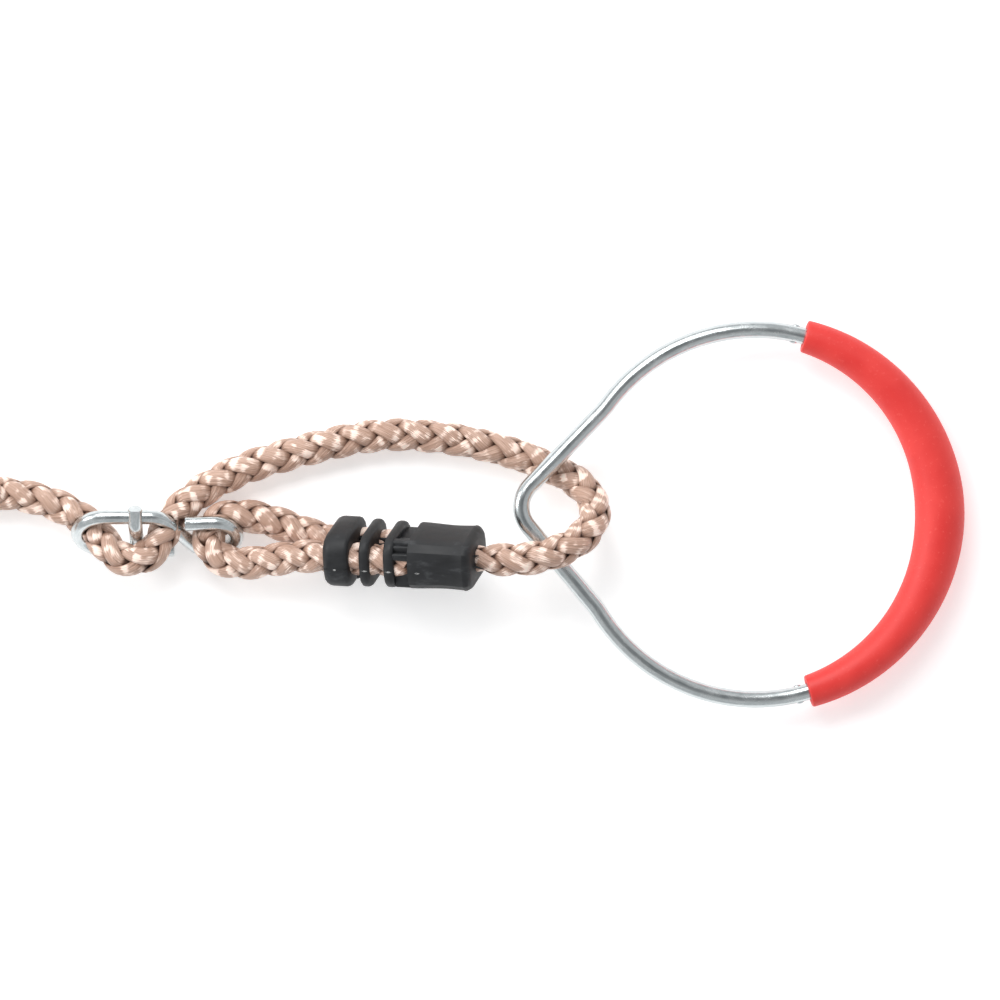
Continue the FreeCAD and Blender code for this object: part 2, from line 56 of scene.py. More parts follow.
# %% Camera
VIEW_WIDTH = 350 * MM
LENS, SENSOR = 300.0, 36.0
camera_data = bpy.data.cameras.new("camera")
camera_data.lens = LENS
camera_data.sensor_width = SENSOR
camera_data.clip_end = 20.0
camera = bpy.data.objects.new("camera", camera_data)
camera.location = (-6.65 * MM, 5.25 * MM, 9 * MM + VIEW_WIDTH * LENS / SENSOR)
bpy.context.scene.collection.objects.link(camera)
bpy.context.scene.camera = camera
bpy.context.scene.view_settings.view_transform = "Standard"
print("camera stands", round(camera.location.z, 2), "m above the floor")

# %% Floor
floor_shape = bmesh.new()
bmesh.ops.create_grid(floor_shape, x_segments=1, y_segments=1, size=6.0)
floor_mesh = bpy.data.meshes.new("floor")
floor_shape.to_mesh(floor_mesh)
floor_shape.free()
floor = bpy.data.objects.new("floor", floor_mesh)
bpy.context.scene.collection.objects.link(floor)
paper = bpy.data.materials.new("white_paper")
paper.use_nodes = True
paper.node_tree.nodes["Principled BSDF"].inputs["Base Color"].default_value = (0.86, 0.86, 0.86, 1)
paper.node_tree.nodes["Principled BSDF"].inputs["Emission Color"].default_value = (1, 1, 1, 1)
paper.node_tree.nodes["Principled BSDF"].inputs["Emission Strength"].default_value = 0.42
paper.node_tree.nodes["Principled BSDF"].inputs["Roughness"].default_value = 0.9
floor_mesh.materials.append(paper)
print("floor is", [round(v, 1) for v in floor.dimensions])


# %% Lamps
def add_lamp(name, place, aim, size, watts):
    lamp = bpy.data.lights.new(name, "AREA")
    lamp.shape = "SQUARE"
    lamp.size = size
    lamp.energy = watts
    stand = bpy.data.objects.new(name, lamp)
    stand.location = place
    stand.rotation_mode = "QUATERNION"
    stand.rotation_quaternion = (Vector(aim) - Vector(place)).to_track_quat("-Z", "Y")
    bpy.context.scene.collection.objects.link(stand)
    print(name, "shines with", watts, "W")


add_lamp("key_softbox", (-0.35, 1.0, 1.15), (0, 0, 0), 0.9, 13.0)
add_lamp("left_softbox", (-1.3, 0.30, 0.80), (0, 0, 0), 0.5, 8.0)

# %% A white room with a darker ceiling
world = bpy.data.worlds.new("white_room")
bpy.context.scene.world = world
world.use_nodes = True
room = world.node_tree
way = room.nodes.new("ShaderNodeTexCoord")
height = room.nodes.new("ShaderNodeSeparateXYZ")
tone = room.nodes.new("ShaderNodeValToRGB")
tone.color_ramp.elements[0].position = 0.35
tone.color_ramp.elements[0].color = (0.90, 0.92, 0.94, 1)
tone.color_ramp.elements[1].position = 0.97
tone.color_ramp.elements[1].color = (0.36, 0.37, 0.38, 1)
tone.color_ramp.elements.new(0.80).color = (0.86, 0.87, 0.88, 1)
room.links.new(way.outputs["Generated"], height.inputs["Vector"])
room.links.new(height.outputs["Z"], tone.inputs["Fac"])
room.links.new(tone.outputs["Color"], room.nodes["Background"].inputs["Color"])
room.nodes["Background"].inputs["Strength"].default_value = 0.68
print("room lit")

# %% [markdown]
# ## Small helpers
# A finish is a short chain of nodes that ends in one shader, and a finished piece is
# a mesh that rides on one body of the frame. A helper for each keeps both short.


# %% Helpers for finishes
class Finish:
    """One material, with a short way to add and join its nodes."""

    def __init__(self, name, **sockets):
        self.material = bpy.data.materials.new(name)
        self.material.use_nodes = True
        self.tree = self.material.node_tree
        self.shader = self.tree.nodes["Principled BSDF"]
        for socket, value in sockets.items():
            self.shader.inputs[socket.replace("_", " ")].default_value = value

    def node(self, kind, values=None, **settings):
        node = self.tree.nodes.new(kind)
        for name, value in settings.items():
            setattr(node, name, value)
        for name, value in (values or {}).items():
            node.inputs[name].default_value = value
        return node

    def join(self, out, into):
        self.tree.links.new(out, into)

    def noise(self, coordinates, scale, stretch=(1, 1, 1), detail=3.0, rough=0.5):
        """Noise whose grains are 1/scale long, squeezed by stretch along each axis."""
        mapping = self.node("ShaderNodeMapping", {"Scale": stretch})
        noise = self.node(
            "ShaderNodeTexNoise", {"Scale": scale, "Detail": detail, "Roughness": rough}
        )
        self.join(coordinates, mapping.inputs["Vector"])
        self.join(mapping.outputs["Vector"], noise.inputs["Vector"])
        return noise.outputs["Fac"]

    def ramp(self, value, stops):
        ramp = self.node("ShaderNodeValToRGB")
        ramp.color_ramp.elements[0].position, ramp.color_ramp.elements[0].color = stops[0]
        ramp.color_ramp.elements[1].position, ramp.color_ramp.elements[1].color = stops[-1]
        for place, colour in stops[1:-1]:
            ramp.color_ramp.elements.new(place).color = colour
        self.join(value, ramp.inputs["Fac"])
        return ramp.outputs["Color"]

    def blend(self, mode, factor, first, second):
        mix = self.node("ShaderNodeMix", data_type="RGBA", blend_type=mode)
        mix.inputs[0].default_value = factor
        self.join(first, mix.inputs[6])
        self.join(second, mix.inputs[7])
        return mix.outputs[2]

    def spread(self, value, low, high):
        """Noise from its usual middle band to low..high."""
        band = self.node(
            "ShaderNodeMapRange", {"From Min": 0.3, "From Max": 0.7, "To Min": low, "To Max": high}
        )
        self.join(value, band.inputs["Value"])
        return band.outputs["Result"]

    def bump(self, height, strength, distance, before=None):
        bump = self.node("ShaderNodeBump", {"Strength": strength, "Distance": distance})
        self.join(height, bump.inputs["Height"])
        if before is not None:
            self.join(before, bump.inputs["Normal"])
        return bump.outputs["Normal"]

    def place(self):
        return self.node("ShaderNodeTexCoord").outputs["Object"]


print("finish helper ready")


# %% Helper for finished pieces
def finish_piece(name, shape, body, slot, finish, *nodes, sharp=40.0):
    """Turn a bmesh into a piece that rides on a body and stands for CAD nodes."""
    mesh = bpy.data.meshes.new(name)
    shape.to_mesh(mesh)
    shape.free()
    mesh.materials.append(finish.material)
    for face in mesh.polygons:
        face.use_smooth = True
    mesh.set_sharp_from_angle(angle=math.radians(sharp))
    piece = bpy.data.objects.new(name, mesh)
    bpy.context.scene.collection.objects.link(piece)
    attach(piece, body)
    if nodes:
        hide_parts(*nodes)
    corners = sum(len(face.vertices) - 2 for face in mesh.polygons)
    print(f"{name}: {corners} triangles on {body}")
    return piece


print("piece helper ready")

# %% [markdown]
# ## The rope
# The rope is one length of soft fibre. Its end is moulded into the clamp. It turns
# round the wire's small eye, runs back through the clamp, passes over one arm of the
# ring's eye and under the other, returns to the wire and leaves for the frame above.
# Its unseen length is put away in a coil and ends in a second clamp round a steel
# ring. We list the points of its route and let one NURBS spline smooth
# them, because a soft rope has no straight runs and no sharp corners.

# %% Where the clamps are
ROPE = 12.0  # millimetres
LEG = ROPE / 2 + 0.2


def clamp_place(corner, yaw, pitch, roll):
    turn = Matrix.Rotation(math.radians(yaw), 4, "Z")
    turn = turn @ Matrix.Rotation(math.radians(-pitch), 4, "Y")
    turn = turn @ Matrix.Rotation(math.radians(roll), 4, "X")
    return Matrix.Translation(Vector(corner)) @ turn


CLAMP = clamp_place((-65.3, -12.25, 14.0), -3.15, 15.0, 24.0)
TOP_CLAMP = clamp_place((-378.0, 62.0, 13.85), 0.0, 0.0, 0.0)


def in_clamp(place, *points):
    return [tuple(place @ Vector(point)) for point in points]


print("clamp mouth at", [round(v, 1) for v in CLAMP.translation])

# %% The short turn round the small eye
route = in_clamp(CLAMP, (30.8, 0, LEG), (22, 0.3, LEG), (11, 0, LEG), (0, 0.2, LEG))
route += [
    (-76.4, -14.3, 16.8), (-85.4, -15.6, 14.2), (-93.8, -16.9, 12.2), (-100.6, -16.8, 10.9),
    (-106.0, -14.6, 10.3), (-108.9, -10.4, 9.9), (-108.4, -5.4, 9.2), (-105.4, -1.6, 8.2),
    (-100.4, -0.1, 7.4), (-94.6, -0.2, 6.9), (-86.6, -2.0, 6.5), (-76.2, -5.9, 6.3),
]
route += in_clamp(CLAMP, (0, 0, -LEG), (11, 0.3, -LEG), (24, 0, -LEG), (43, 0, 0), (53, 0, 0))
print("points so far:", len(route))

# %% The loop through the ring's eye and back to the wire
route += [
    (-5.4, -15.6, 29.4), (3.2, -15.3, 30.0), (11.9, -13.4, 28.5), (19.6, -9.8, 25.4),
    (25.1, -4.7, 21.2), (27.0, 1.2, 16.8), (25.0, 6.9, 12.6), (20.7, 11.4, 9.2),
    (15.2, 14.7, 7.1), (9.2, 17.4, 6.3), (1.4, 20.5, 6.1), (-8.6, 23.6, 6.1),
    (-23.4, 26.8, 6.1), (-40.6, 28.4, 6.1), (-54.4, 27.5, 6.1), (-68.2, 24.5, 6.1),
    (-82.0, 20.9, 6.1), (-94.4, 17.2, 6.1), (-104.6, 12.5, 6.2), (-112.4, 7.6, 6.9),
    (-118.6, 2.3, 8.6), (-122.9, -3.8, 11.2), (-126.0, -10.2, 14.0), (-130.4, -15.0, 15.9),
    (-136.6, -16.3, 16.0), (-142.4, -13.2, 14.1), (-146.4, -7.6, 11.0), (-152.2, -1.7, 8.3),
    (-160.6, 3.1, 6.8), (-170.9, 6.4, 6.2), (-182.0, 7.8, 6.3),
]
print("points so far:", len(route))

# %% Over the coil and into its hole
route += [
    (-192.0, 8.3, 9.2), (-200.6, 8.2, 15.0), (-209.4, 8.0, 20.4), (-228.6, 8.1, 20.4),
    (-238.4, 8.3, 16.2), (-248.0, 8.1, 10.4), (-258.2, 8.1, 7.4), (-269.4, 8.2, 7.0),
]
COIL_X, COIL_Y, COIL_Z = -280.0, -10.0, 7.0
for step in range(6):
    turn = math.radians(105 + 30 * step)
    reach = 36.0 / math.cos(math.radians(15))
    route.append((COIL_X + reach * math.cos(turn), COIL_Y - 18 + reach * math.sin(turn), COIL_Z))
print("points so far:", len(route))

# %% The coil's turns, each a rope's width outside the last
COIL_START, COIL_PITCH = 54.5, 12.3
for step in range(25):
    angle = 270 + 22.5 * step
    reach = COIL_START + COIL_PITCH * (angle - 270) / 360
    turn = math.radians(angle)
    route.append((COIL_X + reach * math.cos(turn), COIL_Y + reach * math.sin(turn), COIL_Z))
print("the coil ends", round(reach, 1), "mm from its middle")

# %% The far end, round the hanging ring
route += [(-292.0, 62.4, 7.1), (-302.0, 62, 8.6), (-312.0, 62, 12.1), (-321.0, 62, 13.85)]
route += in_clamp(TOP_CLAMP, (43, 0, 0), (24, 0, -LEG), (11, 0.3, -LEG), (0, 0, -LEG))
LINK_HINGE = Vector((-395.5, 62.0, 15.65))
BIGHT = 9.4
route.append((-386.6, 62, LINK_HINGE.z - BIGHT + 0.2))
for angle in (247.5, 202.5, 157.5, 112.5):
    turn = math.radians(angle)
    reach = BIGHT / math.cos(math.radians(22.5))
    route.append((LINK_HINGE.x + reach * math.cos(turn), 62, LINK_HINGE.z + reach * math.sin(turn)))
route.append((-386.6, 62, LINK_HINGE.z + BIGHT - 0.8))
route += in_clamp(TOP_CLAMP, (0, 0.2, LEG), (11, 0, LEG), (22, 0.3, LEG), (30.8, 0, LEG))
print("the whole route has", len(route), "points")


# %% The smooth line that the rope follows
def smooth_line(name, points, steps):
    curve = bpy.data.curves.new(name, "CURVE")
    curve.dimensions = "3D"
    curve.resolution_u = steps
    spline = curve.splines.new("NURBS")
    spline.points.add(len(points) - 1)
    for control, point in zip(spline.points, points):
        control.co = (*[v * MM for v in point], 1.0)
    spline.order_u = 3
    spline.use_endpoint_u = True
    holder = bpy.data.objects.new(name, curve)
    bpy.context.scene.collection.objects.link(holder)
    mesh = bpy.data.meshes.new_from_object(holder)
    line = [vertex.co.copy() for vertex in mesh.vertices]
    bpy.data.objects.remove(holder)
    bpy.data.meshes.remove(mesh)
    return line


def walked(line):
    """How far along the line each of its points is."""
    far = [0.0]
    for before, after in zip(line, line[1:]):
        far.append(far[-1] + (after - before).length)
    return far


rope_line = smooth_line("rope_line", route, 16)
rope_far = walked(rope_line)
print(f"the rope is {rope_far[-1]:.3f} m long, on {len(rope_line)} points")

# %% [markdown]
# ### Eight strands
# Braided rope has four strands that wind one way and four that wind the other. Each
# goes over two and under two, so it shows twice on each turn, and the places where
# it shows line up in four columns along the rope. We carry an upright round the line,
# let it turn slowly until one column lies on top, and set the strands round it.

# %% Points close enough together for the strands
SEEN_STEP, UNSEEN_STEP = 0.95 * MM, 2.6 * MM
SEEN_EDGE = -196 * MM
stations, spots = [rope_line[0]], [0.0]
for point, far in zip(rope_line, rope_far):
    step = SEEN_STEP if point.x > SEEN_EDGE else UNSEEN_STEP
    if far - spots[-1] >= step:
        stations.append(point)
        spots.append(far)
print(len(stations), "stations along the rope")


# %% An upright that hardly spins
LEVELLING = 0.03  # how strongly each step turns the upright back towards the sky


def carried_uprights(points):
    ways = []
    for number in range(len(points)):
        before, after = points[max(number - 1, 0)], points[min(number + 1, len(points) - 1)]
        ways.append((after - before).normalized())
    upright = Vector((0, 0, 1))
    uprights = []
    for way in ways:
        level = Vector((0, 0, 1)) - way * way.z
        upright = (upright - way * upright.dot(way) + level * LEVELLING).normalized()
        uprights.append(upright)
    return ways, uprights


rope_ways, rope_uprights = carried_uprights(stations)
print("the last upright is", [round(v, 2) for v in rope_uprights[-1]])

# %% [markdown]
# ### Bent wire
# The adjuster, its crossbar and the ring are round bar bent cold on pins. We make
# them the same way: a circle is pulled along for a run and spun round a pin for each
# bend, from a short bending list. The bar's middle line comes out too, because the
# soft rope gives way where a wire presses into it.


# %% A bending bench
def bend_bar(radius, start, heading, moves, sides=24):
    """A bar bent in its own plane, in millimetres. Also gives its middle line."""
    shape = bmesh.new()
    facing = Matrix.Translation(Vector((*start, 0)))
    facing = facing @ Matrix.Rotation(math.radians(heading), 4, "Z")
    facing = facing @ Matrix.Rotation(math.radians(90), 4, "Y")
    bmesh.ops.create_circle(shape, segments=sides, radius=radius, matrix=facing)
    ring, at, way = shape.edges[:], Vector((*start, 0)), math.radians(heading)
    middle = [at.copy()]
    for move in moves:
        ahead = Vector((math.cos(way), math.sin(way), 0))
        if move[0] == "run":
            made = bmesh.ops.extrude_edge_only(shape, edges=ring)["geom"]
            corners = [item for item in made if isinstance(item, bmesh.types.BMVert)]
            bmesh.ops.translate(shape, verts=corners, vec=ahead * move[1])
            ring = [edge for edge in made if isinstance(edge, bmesh.types.BMEdge)]
            ring = [edge for edge in ring if all(v in corners for v in edge.verts)]
            middle += [at + ahead * move[1] * part / 12 for part in range(1, 13)]
        else:
            _, pin, angle = move
            side = 1 if angle > 0 else -1
            centre = at + Vector((-ahead.y, ahead.x, 0)) * pin * side
            steps = max(4, round(abs(math.radians(angle)) * pin / 1.6))
            made = bmesh.ops.spin(
                shape, geom=ring, cent=centre, axis=(0, 0, 1), angle=math.radians(angle),
                steps=steps, use_duplicate=False,
            )["geom_last"]
            ring = [item for item in made if isinstance(item, bmesh.types.BMEdge)]
            for part in range(1, steps + 1):
                swing = Matrix.Rotation(math.radians(angle) * part / steps, 3, "Z")
                middle.append(centre + swing @ (at - centre))
            way += math.radians(angle)
        at = middle[-1].copy()
    return shape, middle


def unbend(shape, middle):
    """Store where each point would lie on the straight bar: two across it, one along it."""
    straight = shape.verts.layers.float_vector.new("straight")
    tree = KDTree(len(middle))
    for number, point in enumerate(middle):
        tree.insert(point, number)
    tree.balance()
    far = walked(middle)
    for corner in shape.verts:
        _, number, _ = tree.find(corner.co)
        before, after = middle[max(number - 1, 0)], middle[min(number + 1, len(middle) - 1)]
        way = (after - before).normalized()
        off = corner.co - middle[number]
        across = Vector((-way.y, way.x, 0))
        corner[straight] = (off.dot(across), off.z, far[number] + off.dot(way))


def close_ends(shape, middle, rounding, place):
    """Cap a bar's open ends, ease their rims and put the bar where it goes, in metres."""
    rims = [edge for edge in shape.edges if edge.is_boundary]
    caps = bmesh.ops.edgeloop_fill(shape, edges=rims)["faces"]
    rims = list({edge for cap in caps for edge in cap.edges})
    bmesh.ops.bevel(
        shape, geom=rims, offset=rounding, segments=2, profile=0.5, affect="EDGES", material=-1
    )
    bmesh.ops.remove_doubles(shape, verts=shape.verts[:], dist=0.01)
    bmesh.ops.recalc_face_normals(shape, faces=shape.faces[:])
    unbend(shape, middle)
    bmesh.ops.transform(shape, matrix=Matrix.Scale(MM, 4) @ place, verts=shape.verts[:])


print("bending bench ready")

# %% The adjuster's bending list
WIRE = 2.5
HOOK = Matrix.Translation((0, -12.1, WIRE)) @ Matrix.Rotation(math.radians(53.8), 4, "X")
hook_moves = [
    ("run", 23.9),
    ("bend", 9.6, -180.0),
    ("run", 15.95),
    ("bend", 7.0, -56.31),
    ("run", 15.58),
    ("bend", 7.0, 56.31),
    ("run", 1.75),
    ("bend", 7.9, 182.9),
    ("run", 9.5),
]
hook_shape, hook_line = bend_bar(WIRE, (-120.8, 0), 180.0, hook_moves)
close_ends(hook_shape, hook_line, 0.35, HOOK)
hook_line = [HOOK @ point * MM for point in hook_line]
print("adjuster wire has", len(hook_line), "points on its middle line")

# %% The crossbar's bending list
CROSSBAR = Matrix.Translation((-133.7, 0, 0)) @ Matrix(
    ((0, 0, 1, 0), (1, 0, 0, 0), (0, 1, 0, 0), (0, 0, 0, 1))
)
crossbar_moves = [("run", 5.95), ("bend", 4.0, 39.86), ("run", 16.33)]
crossbar_shape, crossbar_line = bend_bar(WIRE, (2.25, 25.53), 210.21, crossbar_moves)
close_ends(crossbar_shape, crossbar_line, 0.4, CROSSBAR)
crossbar_line = [CROSSBAR @ point * MM for point in crossbar_line]
print("crossbar foot at", [round(v / MM, 1) for v in crossbar_line[-1]])

# %% Room for the wires in the soft rope
PRESS = (WIRE + 0.05) * MM


def line_distance(point, line):
    """Distance to a middle line, taken between its neighbouring points."""
    best = 1.0
    for start, end in zip(line, line[1:]):
        along = end - start
        part = min(max((point - start).dot(along) / along.length_squared, 0.0), 1.0)
        best = min(best, (point - start - along * part).length)
    return best


def pressed(point, heart, lines):
    """Move a point towards the heart of the rope until no wire holds it."""
    for part in range(9):
        moved = point.lerp(heart, part / 9)
        if min(line_distance(moved, line) for line in lines) >= PRESS:
            return moved
    return moved


print("a wire pushes the rope", round(PRESS / MM, 2), "mm from its own middle")

# %% Where each strand of the braid runs
LAY = 41.0 * MM  # one whole turn of a strand round the rope
STRAND_DEEP, STRAND_WIDE = 1.2 * MM, 3.05 * MM
MIDDLE, SWING = 3.55 * MM, 1.2 * MM  # how far off the rope's line, and how far up and down
SOFTNESS = 0.55  # how gently a strand goes from over to under
BOW = 65.0  # how much a flat strand curves round the rope
TOP_COLUMN = math.radians(12)
CORNERS = [math.radians(v) for v in (0, 25, 50, 72, 95, 130, 180, 230, 265, 288, 310, 335)]
TWIST = 0.30  # how much the fibres turn in a strand for each step along the rope
MOUTH, SQUEEZE, RECOVERY = 53.5, 0.2, 5.0  # where the clamp grips, how hard, over what length


def squeeze(point):
    """The clamp's mouth squeezes the rope that comes out of it."""
    along, side, up = CLAMP.inverted() @ (point / MM)
    if not 40 < along < 75 or abs(side) > 14 or abs(up) > 14:
        return 1.0
    return 1.0 - SQUEEZE * math.exp(-(((along - MOUTH) / RECOVERY) ** 2))


def strand_centres(number):
    hand = 1 if number < 4 else -1
    start = math.pi / 2 * number
    if hand < 0:
        start += math.pi / 4 + 2 * TOP_COLUMN
    centres = []
    for point, way, upright, far in zip(stations, rope_ways, rope_uprights, spots):
        turn = start + hand * 2 * math.pi * far / LAY
        wave = hand * math.cos(2 * (turn - TOP_COLUMN))
        lift = wave / math.hypot(wave, SOFTNESS) * math.hypot(1.0, SOFTNESS)
        side = way.cross(upright)
        reach = (MIDDLE + SWING * lift) * squeeze(point)
        centres.append(point + (upright * math.cos(turn) + side * math.sin(turn)) * reach)
    return centres


print("each strand turns", round(rope_far[-1] / LAY, 1), "times round the rope")


# %% Wind the strands
def strand_rings(number):
    """Rings of points round one strand, flattened and curved to lie on the rope."""
    centres = strand_centres(number)
    rings = []
    for place, centre in enumerate(centres):
        before, after = centres[max(place - 1, 0)], centres[min(place + 1, len(centres) - 1)]
        way = (after - before).normalized()
        outward = centre - stations[place]
        outward = (outward - way * outward.dot(way)).normalized()
        across = way.cross(outward)
        tight = squeeze(stations[place])
        ring = []
        for turn in CORNERS:
            wide = STRAND_WIDE * math.sin(turn) * tight
            deep = STRAND_DEEP * math.cos(turn) * tight - BOW * wide * wide
            ring.append(centre + outward * deep + across * wide)
        rings.append(ring)
    return rings


strands = [strand_rings(number) for number in range(8)]
print("rings on each strand:", len(strands[0]))

# %% Press the wires in
NEAR = 10 * MM
near_wires = [
    place for place, point in enumerate(stations)
    if line_distance(point, hook_line) < NEAR or line_distance(point, crossbar_line) < NEAR
]
for rings in strands:
    for place in near_wires:
        heart = stations[place]
        rings[place] = [pressed(point, heart, (hook_line, crossbar_line)) for point in rings[place]]
print("rings that a wire may press:", len(near_wires))


# %% Skin the strands
FIBRE_WIDTH = STRAND_WIDE * 1.35  # how wide the map is for each radian round a strand


def skin_strand(shape, rings, hand, fibre_map, crease):
    """Faces from ring to ring, a map along the fibres, and each point's depth in the braid."""
    count, sides = len(rings), len(CORNERS)
    rows = [[shape.verts.new(point) for point in ring] for ring in rings]
    for heart, row in zip(stations, rows):
        # This depth later darkens the rope's colour as painted shade in the creases.
        for corner in row:
            corner[crease] = 1.0 - (corner.co - heart).length / (ROPE / 2 * MM * squeeze(heart))
    for place in range(count - 1):
        for corner in range(sides):
            follow = (corner + 1) % sides
            face = shape.faces.new((
                rows[place][corner], rows[place][follow],
                rows[place + 1][follow], rows[place + 1][corner],
            ))
            turn, next_turn = CORNERS[corner], CORNERS[follow] or 2 * math.pi
            for loop, (row, angle) in zip(
                face.loops,
                ((place, turn), (place, next_turn), (place + 1, next_turn), (place + 1, turn)),
            ):
                fibre = FIBRE_WIDTH * angle + hand * TWIST * spots[row]
                loop[fibre_map].uv = (spots[row] / MM / 10, fibre / MM / 10)
    shape.faces.new(list(reversed(rows[0])))
    shape.faces.new(rows[-1])


rope_shape = bmesh.new()
fibre_map = rope_shape.loops.layers.uv.new("fibres")
crease = rope_shape.verts.layers.float.new("crease")
for number, rings in enumerate(strands):
    skin_strand(rope_shape, rings, 1 if number < 4 else -1, fibre_map, crease)
bmesh.ops.recalc_face_normals(rope_shape, faces=rope_shape.faces[:])
print("rope skinned with", len(rope_shape.faces), "faces")

# %% [markdown]
# ### The rope's finish
# Soft man-made fibre has a satin shine. Pale patches with frayed ends are painted into
# the colour as highlights, and the creases between strands are darkened to brown with
# painted shade. The map's first axis runs along the fibres, so one noise squeezed across
# them makes fine fibres, a coarser one makes yarns, and a wide one says where the painted
# highlights and the kinks' bumps are. A shader that shines more across than along gives
# the real shine.

# %% Rope finish
rope_finish = Finish("braided_fibre", Roughness=0.36, Specular_IOR_Level=0.5)
rope_finish.shader.inputs["Anisotropic"].default_value = 0.5
rope_finish.shader.inputs["Sheen Weight"].default_value = 0.12
rope_finish.shader.inputs["Sheen Roughness"].default_value = 0.4
fibres = rope_finish.node("ShaderNodeUVMap", uv_map="fibres").outputs["UV"]
fine = rope_finish.noise(fibres, 1.0, (1.2, 22.0, 1), detail=4.0, rough=0.7)
yarns = rope_finish.noise(fibres, 1.0, (1.6, 9.0, 1), detail=2.0)
bands = rope_finish.noise(fibres, 1.0, (4.2, 0.9, 1), detail=0.0)
ragged = rope_finish.noise(fibres, 1.0, (2.6, 24.0, 1), detail=3.0, rough=0.6)
kinks_and_highlight_patches = rope_finish.blend("MIX", 0.42, bands, ragged)
light = rope_finish.ramp(
    rope_finish.spread(fine, 0.0, 1.0),
    [(0.0, (0.34, 0.19, 0.13, 1)), (0.5, (0.57, 0.36, 0.27, 1)), (1.0, (0.76, 0.54, 0.43, 1))],
)
# Painted highlight: pale patches are added to the fibre colour wherever the patch noise rises.
painted_highlight = rope_finish.ramp(kinks_and_highlight_patches, [(0.530, (0, 0, 0, 1)), (0.600, (0.62, 0.58, 0.54, 1))])
# Painted shade: the colour turns deep brown the deeper a point lies in the braid's creases.
deep = rope_finish.node("ShaderNodeAttribute", attribute_name="crease").outputs["Fac"]
shade = rope_finish.ramp(
    deep, [(0.08, (1, 1, 1, 1)), (0.17, (0.58, 0.50, 0.45, 1)), (0.26, (0.12, 0.075, 0.055, 1))]
)
# The fibre colour gets the painted highlight added, then the painted crease shade multiplied in.
lit = rope_finish.blend("ADD", 1.0, light, painted_highlight)
rope_finish.join(
    rope_finish.blend("MULTIPLY", 1.0, lit, shade), rope_finish.shader.inputs["Base Color"]
)
yarn_bump = rope_finish.bump(yarns, 0.8, 0.7 * MM)
kink_bump = rope_finish.bump(kinks_and_highlight_patches, 0.7, 0.5 * MM, before=yarn_bump)
rope_finish.join(
    rope_finish.bump(fine, 0.4, 0.15 * MM, before=kink_bump), rope_finish.shader.inputs["Normal"]
)
tangent = rope_finish.node("ShaderNodeTangent", direction_type="UV_MAP", uv_map="fibres")
rope_finish.join(tangent.outputs["Tangent"], rope_finish.shader.inputs["Tangent"])
print("rope finish has", len(rope_finish.tree.nodes), "nodes")

# %% The finished rope
ROPE_NODES = ("rope_small_bight", "rope_ring_loop", "rope_far_end", "rope_coil")
rope = finish_piece("rope", rope_shape, "rope_work", "rope", rope_finish, *ROPE_NODES, sharp=80)

# %% [markdown]
# ## Zinc wire and bar
# Bright zinc on drawn steel is a pale blue-grey metal with soft blotches and faint
# lines where it was drawn. The bar remembers where each point lay before it was bent,
# so noise pulled out along the straight bar follows every bend.


# %% Zinc finish
def zinc(name, blotch_size):
    finish = Finish(name, Metallic=1.0, Roughness=0.25)
    straight = finish.node("ShaderNodeAttribute", attribute_name="straight").outputs["Vector"]
    blotch = finish.noise(straight, 1.0, (0.5, 0.5, 1 / blotch_size), detail=4.0, rough=0.6)
    drawn = finish.noise(straight, 1.0, (2.6, 2.6, 0.05), detail=3.0, rough=0.6)
    both = finish.blend("MIX", 0.5, blotch, drawn)
    colour = finish.ramp(
        finish.spread(both, 0.0, 1.0),
        [(0.0, (0.47, 0.51, 0.515, 1)), (0.5, (0.63, 0.665, 0.67, 1)),
         (1.0, (0.75, 0.775, 0.78, 1))],
    )
    finish.join(colour, finish.shader.inputs["Base Color"])
    finish.join(finish.spread(blotch, 0.15, 0.32), finish.shader.inputs["Roughness"])
    lines = finish.bump(drawn, 0.25, 0.06 * MM)
    finish.join(finish.bump(blotch, 0.12, 0.10 * MM, before=lines), finish.shader.inputs["Normal"])
    print(name, "has", len(finish.tree.nodes), "nodes")
    return finish


wire_zinc = zinc("zinc_wire", 2.5)
rod_zinc = zinc("zinc_rod", 5.0)

# %% Adjuster and crossbar
finish_piece("adjuster_wire", hook_shape, "rope_work", "wire_zinc", wire_zinc, "adjuster_hook")
finish_piece("crossbar_wire", crossbar_shape, "rope_work", "wire_zinc", wire_zinc, "crossbar")

# %% Hanging ring at the far end
LINK_R = 20.0
drop = math.asin((LINK_HINGE.z - WIRE) / (2 * LINK_R))
link_turn = Matrix.Rotation(-drop, 4, "Y")
link_middle = LINK_HINGE + link_turn @ Vector((-LINK_R, 0, 0))
link_shape = bmesh.new()
upright = Matrix.Translation((LINK_R, 0, 0)) @ Matrix.Rotation(math.radians(90), 4, "X")
bmesh.ops.create_circle(link_shape, segments=20, radius=WIRE, matrix=upright)
bmesh.ops.spin(
    link_shape, geom=link_shape.edges[:], cent=(0, 0, 0), axis=(0, 0, 1),
    angle=2 * math.pi, steps=72, use_merge=True, use_duplicate=False,
)
bmesh.ops.remove_doubles(link_shape, verts=link_shape.verts[:], dist=0.01)
bmesh.ops.recalc_face_normals(link_shape, faces=link_shape.faces[:])
place = Matrix.Scale(MM, 4) @ Matrix.Translation(link_middle) @ link_turn
bmesh.ops.transform(link_shape, matrix=place, verts=link_shape.verts[:])
link = finish_piece(
    "steel_hanging_ring", link_shape, "top_ring", "wire_zinc", wire_zinc, "hanging_ring"
)

# %% [markdown]
# ## The hand ring
# One bar makes the whole ring. It starts at the weld inside the grip, follows the
# circle, bends back a little at the neck, runs straight, turns tightly round the eye
# and goes home the same way. Two pairs of small stakes stop the grip from sliding.
# The weld is hidden, so it keeps its measured shape and only gets a finish.

